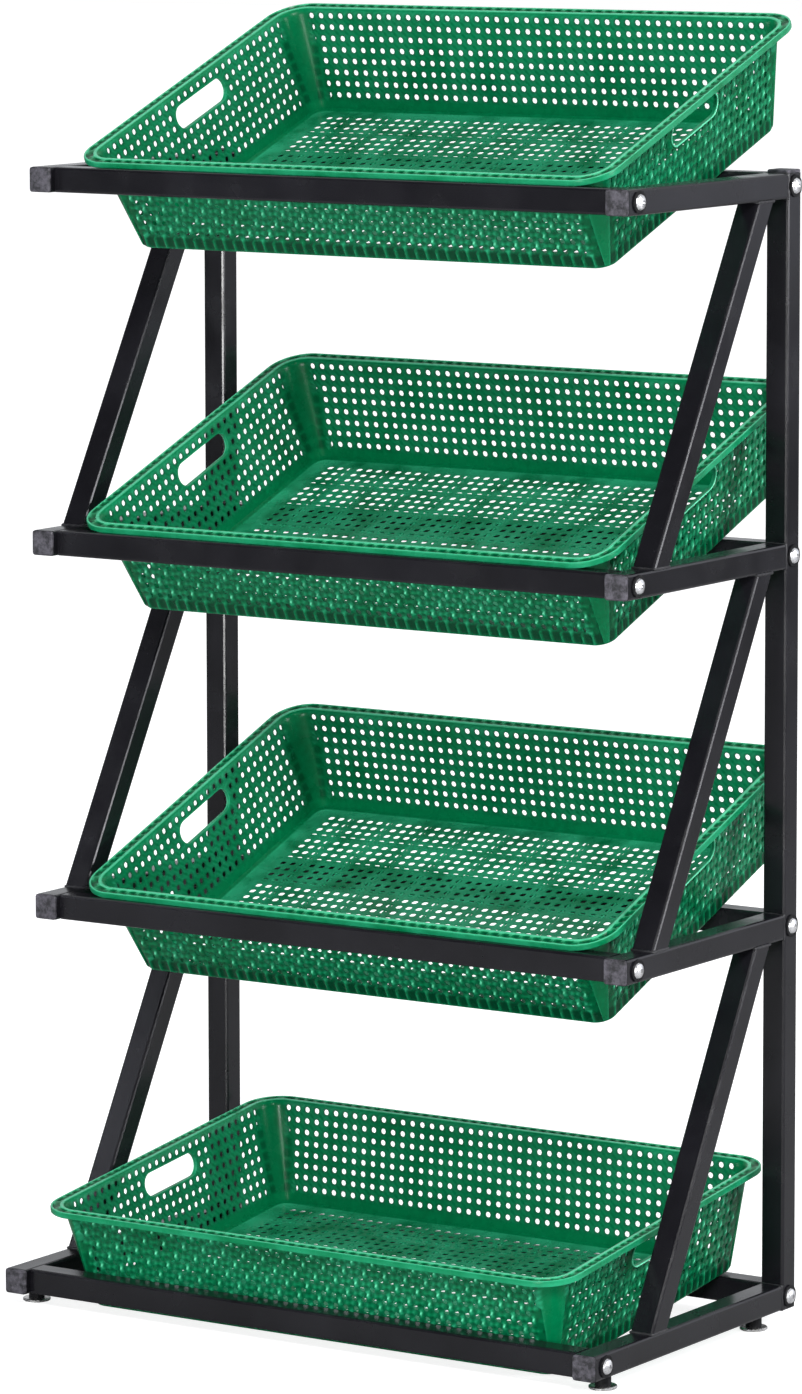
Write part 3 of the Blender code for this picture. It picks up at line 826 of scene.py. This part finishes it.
def cap_plastic():
    """Dark grey moulded plastic with a strong mottle, and a painted highlight along rounded edges."""
    n = Nodes("dark_cap_plastic")
    mottle = n.span(n.noise(150.0, 5.0, 0.7), 0.40, 0.62)
    colour = n.blend(mottle, (0.010, 0.010, 0.013), (0.085, 0.080, 0.098))
    # Paler along rounded edges: a painted highlight.
    edge = n.product(n.rounding(0.004, 0.045), n.span(n.noise(70.0), 0.35, 0.6))
    colour = n.blend(edge, colour, (0.10, 0.10, 0.11))
    rough = n.span(n.noise(200.0), 0.3, 0.7, 0.42, 0.66)
    n.bump(n.noise(520.0, 3.0), 0.30, 0.0005)
    return n.shade(colour, rough)


def bright_steel():
    """Bright plated bolt heads with fine turned lines, and painted shade where the surface folds
    inwards.
    """
    n = Nodes("bright_bolt")
    cloud = n.span(n.noise(120.0, 4.0), 0.35, 0.68)
    colour = n.blend(cloud, (0.72, 0.72, 0.74), (0.95, 0.95, 0.95))
    # Darker where the surface folds inwards: painted shade in the head's hollows.
    colour = n.blend(n.edges(0.40, 0.50), (0.30, 0.30, 0.31), colour)
    rough = n.span(n.noise(500.0, 3.0, 0.6, (1.0, 1.0, 5.0)), 0.3, 0.7, 0.22, 0.40)
    n.bump(n.noise(700.0, 2.0, 0.5, (1.0, 1.0, 6.0)), 0.10, 0.0002)
    return n.shade(colour, rough, Metallic=1.0)


def washer_paint():
    """Dull black of the washers and of the feet's necks."""
    n = Nodes("dark_washer")
    cloud = n.span(n.noise(160.0, 3.0), 0.35, 0.65)
    colour = n.blend(cloud, (0.004, 0.004, 0.005), (0.012, 0.012, 0.013))
    rough = n.span(n.noise(240.0), 0.3, 0.7, 0.45, 0.65)
    n.bump(n.noise(500.0), 0.2, 0.0003)
    return n.shade(colour, rough, Specular_IOR_Level=0.15)


def plated_steel():
    """Zinc-plated steel of the feet's discs, brighter in patches along their edges."""
    n = Nodes("plated_foot")
    cloud = n.span(n.noise(140.0, 4.0, 0.65), 0.35, 0.65)
    colour = n.blend(cloud, (0.42, 0.42, 0.43), (0.70, 0.69, 0.66))
    edge = n.product(n.edges(0.52, 0.60), n.span(n.noise(90.0), 0.3, 0.6))
    colour = n.blend(edge, colour, (0.90, 0.90, 0.90))
    rough = n.span(n.noise(420.0), 0.3, 0.7, 0.18, 0.40)
    n.bump(n.noise(600.0), 0.12, 0.0003)
    return n.shade(colour, rough, Metallic=1.0)


def green_plastic():
    """Green moulded plastic, glossy on the crests of its relief, with a painted highlight on the crests
    and painted shade in the hollows.

    The specular level follows the relief. The number set beside that link stands in for it where
    the link is dropped.
    """
    n = Nodes("green_basket")
    cloud = n.span(n.noise(5.0, 3.0), 0.35, 0.65)
    base = n.blend(cloud, (0.0001, 0.129, 0.043), (0.0002, 0.158, 0.054))
    fine = n.span(n.noise(130.0, 4.0, 0.65), 0.35, 0.70)
    base = n.blend(fine, base, (0.0004, 0.184, 0.065))
    # Painted highlight on the crests of the relief.
    crest_highlight = n.product(n.depth(0.46, 0.04), n.span(n.noise(60.0, 3.0), 0.12, 0.42))
    above_plain = n.depth(0.50, 0.46)
    crest_highlight = n.product(crest_highlight, above_plain)
    colour = n.blend(crest_highlight, base, (0.180, 0.96, 0.560))
    # Paler along convex edges: a painted highlight.
    edge_highlight = n.product(n.edges(0.515, 0.58), n.span(n.noise(26.0, 3.0), 0.30, 0.60))
    colour = n.blend(edge_highlight, colour, (0.030, 0.42, 0.210))
    # Painted shade in the hollows of the relief, inside the basket, on its floor and in the rim's
    # groove.
    colour = n.blend(n.depth(0.47, 0.86), colour, (0.0001, 0.044, 0.017))
    rough = n.span(n.noise(45.0, 4.0), 0.3, 0.7, 0.20, 0.34)
    n.link(n.depth(0.04, 0.36, 0.65, 0.14), n.shader.inputs["Specular IOR Level"])
    n.bump(n.noise(380.0, 3.0), 0.14, 0.0003)
    return n.shade(colour, rough, Specular_IOR_Level=0.22)


PAINT = powder_coat()
WELD = weld_paint()
PLUG = cap_plastic()
STEEL = bright_steel()
WASHER = washer_paint()
PLATED = plated_steel()
GREEN = green_plastic()


def node_materials(name):
    """A node's materials; the second one is for the faces that second_faces picks."""
    if "_bolt_" in name:
        return STEEL, WASHER
    if name.endswith("_foot"):
        return PLATED, WASHER
    if "_plug" in name:
        return (PLUG,)
    if name.startswith("basket"):
        return (GREEN,)
    return (PAINT,)


def second_faces(name, data):
    """The faces of a bolt's washer, or of a foot's neck and stem."""
    if name.endswith("_foot"):
        return [face for face in data.polygons if face.center.z > NECK_START]
    low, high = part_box(name)
    faces = []
    for face in data.polygons:
        away_y = face.center.y - (low.y + high.y) / 2
        away_z = face.center.z - (low.z + high.z) / 2
        if math.hypot(away_y, away_z) > WASHER_START:
            faces.append(face)
    return faces


def dress_nodes():
    """Gives every solid its materials and its smooth shading."""
    for name, item in frame["nodes"].items():
        data = item.data
        data.shade_smooth()
        data.set_sharp_from_angle(angle=math.radians(SHARP_NODE))
        materials = node_materials(name)
        data.materials.clear()
        for material in materials:
            data.materials.append(material)
        if len(materials) > 1:
            for face in second_faces(name, data):
                face.material_index = 1


def basket_matrix(tier):
    """A basket's place and tilt, read from its joint's axis and its solid's corners."""
    joint = next(j for j in frame["joints"] if j["name"] == f"basket_{tier}_lift")
    tilt = math.atan2(-joint["axis"][1], joint["axis"][2])
    across = Vector((0.0, math.cos(tilt), math.sin(tilt)))
    up = Vector((0.0, -math.sin(tilt), math.cos(tilt)))
    points = [v.co for v in frame["nodes"][f"basket_{tier}"].data.vertices]
    spread = [p.dot(across) for p in points]
    lowest = min(p.dot(up) for p in points)
    origin = across * (min(spread) + max(spread)) / 2 + up * lowest
    return Matrix.Translation(origin) @ Matrix.Rotation(tilt, 4, "X")


def build_baskets():
    """One pierced basket, copied to each tier in place of its solid."""
    mesh = Mesh()
    build_walls(mesh)
    build_floor(mesh)
    data = finish_mesh("pierced_basket", mesh, GREEN, SHARP_BASKET)
    for tier in TIERS:
        placed = data.copy()
        placed.name = f"pierced_basket_{tier}"
        placed.transform(basket_matrix(tier))
        basket = add_piece(f"pierced_basket_{tier}", placed)
        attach(basket, f"basket_{tier}")
        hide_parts(f"basket_{tier}")


# Weld beads


def ripple(index, seed):
    """How thick a bead is at one of its steps: a short ripple with a longer one on it."""
    return 1.0 + 0.16 * math.sin(index * 2.1 + seed) + 0.08 * math.sin(index * 0.63 + seed * 1.7)


def bead(mesh, corners, radius, seed):
    """A rippled bead that runs round the joint given by its corners."""
    loop = []
    for start, end in zip(corners, corners[1:] + corners[:1]):
        steps = max(WELD_LEAST_STEPS, int((end - start).length / WELD_STEP))
        for step in range(steps):
            loop.append(start.lerp(end, step / steps))
    count = len(loop)
    middle = sum(loop, Vector()) / count
    rings = []
    for index, point in enumerate(loop):
        along = (loop[(index + 1) % count] - loop[index - 1]).normalized()
        outwards = point - middle
        outwards -= along * outwards.dot(along)
        outwards.normalize()
        normal = along.cross(outwards)
        thickness = ripple(index, seed)
        ring = []
        for side in range(WELD_SIDES):
            angle = math.tau / WELD_SIDES * side
            arm = outwards * math.cos(angle) + normal * math.sin(angle)
            ring.append(mesh.add(tuple(point + arm * radius * thickness)))
        rings.append(ring)
    for index, ring in enumerate(rings):
        mesh.strip(ring, rings[(index + 1) % count])


def arm_joint(side, tier):
    """The corners of the joint where an arm meets the post's front face."""
    low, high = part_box(f"{side}_arm_{tier}")
    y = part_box(f"{side}_post")[0].y - ARM_WELD_GAP
    left, right = low.x + WELD_INSET, high.x - WELD_INSET
    bottom, top = low.z + WELD_INSET, high.z - WELD_INSET
    return [
        Vector((left, y, bottom)),
        Vector((right, y, bottom)),
        Vector((right, y, top)),
        Vector((left, y, top)),
    ]


def strut_joint(side, tier, z):
    """The corners of the joint where a strut's end at height z meets an arm."""
    low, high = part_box(f"{side}_strut_{tier}")
    strut = frame["nodes"][f"{side}_strut_{tier}"]
    ys = [v.co.y for v in strut.data.vertices if abs(v.co.z - z) < SAME_HEIGHT]
    left, right = low.x + WELD_INSET, high.x - WELD_INSET
    front, rear = min(ys) + WELD_INSET, max(ys) - WELD_INSET
    return [
        Vector((left, front, z)),
        Vector((right, front, z)),
        Vector((right, rear, z)),
        Vector((left, rear, z)),
    ]


def build_welds():
    """Beads round the joints of arms, struts and posts, in one piece for each side frame."""
    for side in SIDES:
        mesh = Mesh()
        for tier in TIERS:
            bead(mesh, arm_joint(side, tier), ARM_WELD_RADIUS, tier)
        for tier in TIERS[1:]:
            low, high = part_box(f"{side}_strut_{tier}")
            bead(mesh, strut_joint(side, tier, low.z), STRUT_WELD_RADIUS, tier * 3 + 1)
            bead(mesh, strut_joint(side, tier, high.z), STRUT_WELD_RADIUS, tier * 3 + 2)
        data = finish_mesh(f"{side}_weld_beads", mesh, WELD, SHARP_WELD)
        welds = add_piece(f"{side}_weld_beads", data)
        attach(welds, "frame")


# Stage

STAGE_HALF = 30.0
WHITE = (1.0, 1.0, 1.0)

# Each light's name, place, target, width and height, power and colour
LIGHTS = (
    ("key", (3.4, -4.2, 3.8), (0.0, 0.0, 0.6), (1.3, 1.3), 310.0, WHITE),
    ("front", (0.6, -4.2, 0.5), (0.0, 0.0, 0.8), (0.6, 0.9), 90.0, WHITE),
    ("fill", (-3.4, -2.4, 1.5), (0.0, 0.0, 0.6), (0.7, 2.4), 36.0, (0.88, 0.91, 1.0)),
    ("side", (3.7, 0.7, 1.8), (0.0, 0.0, 0.9), (0.9, 2.0), 100.0, (0.95, 0.95, 1.0)),
    ("sheen", (2.6, 3.6, 1.5), (0.0, 0.0, 1.0), (2.4, 1.6), 8.0, (0.86, 0.88, 1.0)),
    ("top", (0.2, 0.2, 6.0), (0.0, 0.0, 0.0), (3.0, 3.0), 50.0, WHITE),
)


def build_floor_plane():
    """A pale floor that keeps the rack's shadow and fades to white away from it."""
    size = STAGE_HALF
    mesh = bpy.data.meshes.new("studio_floor")
    corners = [(-size, -size, 0), (size, -size, 0), (size, size, 0), (-size, size, 0)]
    mesh.from_pydata(corners, [], [(0, 1, 2, 3)])
    floor = add_piece("studio_floor", mesh)
    material = bpy.data.materials.new("studio_floor")
    material.use_nodes = True
    tree = material.node_tree
    shader = tree.nodes["Principled BSDF"]
    set_inputs(shader, Base_Color=(0.50, 0.50, 0.50, 1.0), Roughness=0.9, Specular_IOR_Level=0.1)
    glow = tree.nodes.new("ShaderNodeEmission")
    set_inputs(glow, Color=(*WHITE, 1.0))
    path = tree.nodes.new("ShaderNodeLightPath")
    scale = tree.nodes.new("ShaderNodeMath")
    scale.operation = "MULTIPLY"
    place = tree.nodes.new("ShaderNodeTexCoord")
    away = tree.nodes.new("ShaderNodeVectorMath")
    away.operation = "LENGTH"
    spread = tree.nodes.new("ShaderNodeMapRange")
    set_inputs(spread, From_Min=0.5, From_Max=1.6, To_Min=0.84, To_Max=1.0)
    total = tree.nodes.new("ShaderNodeAddShader")
    link = tree.links.new
    link(place.outputs["Object"], away.inputs[0])
    link(away.outputs["Value"], spread.inputs["Value"])
    link(path.outputs["Is Camera Ray"], scale.inputs[0])
    link(spread.outputs["Result"], scale.inputs[1])
    link(scale.outputs[0], glow.inputs["Strength"])
    link(shader.outputs[0], total.inputs[0])
    link(glow.outputs[0], total.inputs[1])
    link(total.outputs[0], tree.nodes["Material Output"].inputs["Surface"])
    mesh.materials.append(material)


def build_world():
    """Soft light that grows towards the rear; the camera sees white in its place."""
    world = bpy.data.worlds.new("studio")
    bpy.context.scene.world = world
    world.use_nodes = True
    tree = world.node_tree
    soft = tree.nodes["Background"]
    set_inputs(soft, Color=(0.94, 0.96, 1.0, 1.0))
    place = tree.nodes.new("ShaderNodeTexCoord")
    split = tree.nodes.new("ShaderNodeSeparateXYZ")
    spread = tree.nodes.new("ShaderNodeMapRange")
    spread.interpolation_type = "SMOOTHSTEP"
    set_inputs(spread, From_Min=0.05, From_Max=0.65, To_Min=0.08, To_Max=0.75)
    white = tree.nodes.new("ShaderNodeBackground")
    set_inputs(white, Color=(*WHITE, 1.0), Strength=1.0)
    path = tree.nodes.new("ShaderNodeLightPath")
    pick = tree.nodes.new("ShaderNodeMixShader")
    link = tree.links.new
    link(place.outputs["Generated"], split.inputs[0])
    link(split.outputs["Y"], spread.inputs["Value"])
    link(spread.outputs["Result"], soft.inputs["Strength"])
    link(path.outputs["Is Camera Ray"], pick.inputs["Fac"])
    link(soft.outputs[0], pick.inputs[1])
    link(white.outputs[0], pick.inputs[2])
    link(pick.outputs[0], tree.nodes["World Output"].inputs["Surface"])


def build_lights():
    for name, place, target, (width, height), power, colour in LIGHTS:
        light = bpy.data.lights.new(name, "AREA")
        light.shape = "RECTANGLE"
        light.size = width
        light.size_y = height
        light.energy = power
        light.color = colour
        lamp = bpy.data.objects.new(name, light)
        bpy.context.scene.collection.objects.link(lamp)
        lamp.location = place
        lamp.rotation_euler = (Vector(target) - Vector(place)).to_track_quat("-Z", "Y").to_euler()
        lamp.visible_camera = False


def build_camera():
    """The photo's camera, aimed at a point in the plane of the posts' rear faces."""
    back = Vector((
        math.sin(AZIMUTH) * math.cos(ELEVATION),
        -math.cos(AZIMUTH) * math.cos(ELEVATION),
        math.sin(ELEVATION),
    ))
    level_right = (-back).cross(Vector((0.0, 0.0, 1.0))).normalized()
    level_up = level_right.cross(-back)
    right = level_right * math.cos(ROLL) + level_up * math.sin(ROLL)
    up = -level_right * math.sin(ROLL) + level_up * math.cos(ROLL)
    target = Vector((TARGET_X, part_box("left_post")[1].y, TARGET_Z))
    rotation = Matrix((right, up, back)).transposed()
    camera = bpy.data.cameras.new("camera")
    camera.sensor_width = SENSOR
    camera.lens = FOCAL_PIXELS * SENSOR / IMAGE_HEIGHT
    camera.shift_y = SHIFT_PIXELS / IMAGE_HEIGHT
    camera.clip_end = 100.0
    item = bpy.data.objects.new("camera", camera)
    bpy.context.scene.collection.objects.link(item)
    item.matrix_world = Matrix.Translation(target + back * DISTANCE) @ rotation.to_4x4()
    bpy.context.scene.camera = item


dress_nodes()
build_baskets()
build_welds()
build_floor_plane()
build_world()
build_lights()
build_camera()
bpy.context.scene.view_settings.view_transform = "Standard"
